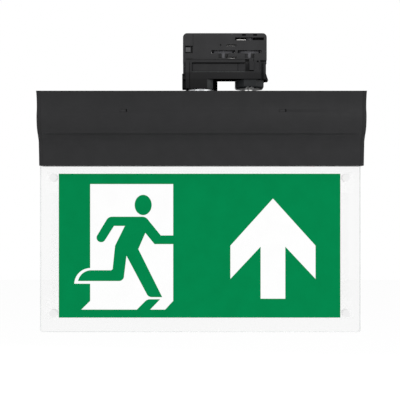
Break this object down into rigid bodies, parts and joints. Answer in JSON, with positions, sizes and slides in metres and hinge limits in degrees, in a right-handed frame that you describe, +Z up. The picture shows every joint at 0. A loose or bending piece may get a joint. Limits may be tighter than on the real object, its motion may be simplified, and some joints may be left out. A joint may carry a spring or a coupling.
{
  "type": "emergency exit light",
  "caption": "Emergency exit light: ogee housing with a hanging clear blade that carries green legends, on a lighting-track adapter.",
  "frame": {"origin": "in the middle of the track adapter's thickness, level with its shoulder, where the track's lips rest, and on the axis of the hollow nipple above the middle of the housing", "axes": "+Z up into the track, -Y the front of the light, +X to the right of someone who faces the front"},
  "size_m": [0.3438, 0.066, 0.3182],
  "materials": {
    "housing_paint": "fine satin powder coat, near black",
    "cap_plastic": "matt moulded, matched to the housing",
    "black_screws": "blackened steel",
    "tray_plastic": "matt moulded",
    "driver_plastic": "moulded white",
    "circuit_board": "green solder mask",
    "component_black": "moulded and sleeved electronic parts",
    "cell_wrap": "shrink sleeve",
    "zinc_steel": "bright zinc plate",
    "terminal_plastic": "moulded polyamide",
    "lead_sheath": "flexible sheath",
    "clear_acrylic": "clear polished acrylic",
    "channel_aluminium": "mill finish",
    "lamp_phosphor": "phosphor dome in a white case",
    "clear_sheet": "clear sheet",
    "white_film": "white diffusing film",
    "green_print": "flat green print",
    "clear_rivet": "clear moulded",
    "button_plastic": "moulded red",
    "switch_plastic": "moulded",
    "lamp_lens": "green diffused lens",
    "adapter_plastic": "matt moulded polyamide",
    "rotor_plastic": "moulded polyamide",
    "knob_plastic": "moulded polyamide",
    "contact_metal": "tin-plated spring brass"
  },
  "bodies": {
    "light": {"adapter_base": "adapter_plastic", "adapter_screws": "zinc_steel", "adapter_tower": "adapter_plastic", "battery_cells": "cell_wrap", "battery_lead": "lead_sheath", "battery_straps": "zinc_steel", "blade_clamp": "channel_aluminium", "blade_pins": "zinc_steel", "clamp_screws": "black_screws", "contact_tab": "contact_metal", "driver_board": "circuit_board", "driver_case": "driver_plastic", "driver_components": "component_black", "driver_lid": "driver_plastic", "front_green_print": "green_print", "front_legend_sheet": "clear_sheet", "front_white_film": "white_film", "gear_tray": "tray_plastic", "housing_profile": "housing_paint", "indicator_board": "circuit_board", "lamp_board": "circuit_board", "lamp_lead": "lead_sheath", "lamps": "lamp_phosphor", "left_cap_screws": "black_screws", "left_end_cap": "cap_plastic", "legend_rivets": "clear_rivet", "light_blade": "clear_acrylic", "mains_lead": "lead_sheath", "mounting_nipple": "zinc_steel", "nipple_collar": "zinc_steel", "nipple_nut": "zinc_steel", "rear_green_print": "green_print", "rear_legend_sheet": "clear_sheet", "rear_white_film": "white_film", "right_cap_screws": "black_screws", "right_end_cap": "cap_plastic", "rivet_caps": "clear_rivet", "signal_lead": "lead_sheath", "status_lamp": "lamp_lens", "supply_lead": "lead_sheath", "terminal_block": "terminal_plastic", "terminal_screws": "zinc_steel", "test_switch": "switch_plastic"},
    "selector": {"selector_rotor": "rotor_plastic", "selector_knob": "knob_plastic", "phase_contact": "contact_metal"},
    "lock": {"lock_rotor": "rotor_plastic", "lock_lever": "adapter_plastic", "neutral_contact": "contact_metal", "earth_contact": "contact_metal"},
    "test_push": {"test_button": "button_plastic", "switch_plunger": "button_plastic"}
  },
  "joints": [
    {"name": "circuit_select", "type": "hinge", "parent": "light", "child": "selector", "pos_m": [0.051, 0, 0], "axis": [0, 0, 1], "range_deg": [0, 120]},
    {"name": "track_lock", "type": "hinge", "parent": "light", "child": "lock", "pos_m": [0.0232, 0, 0], "axis": [0, 0, 1], "range_deg": [0, 90]},
    {"name": "test_press", "type": "slide", "parent": "light", "child": "test_push", "axis": [0, 0, 1], "range_m": [0, 0.0008], "stiffness_N_per_m": 400, "springref_m": -0.0005}
  ]
}
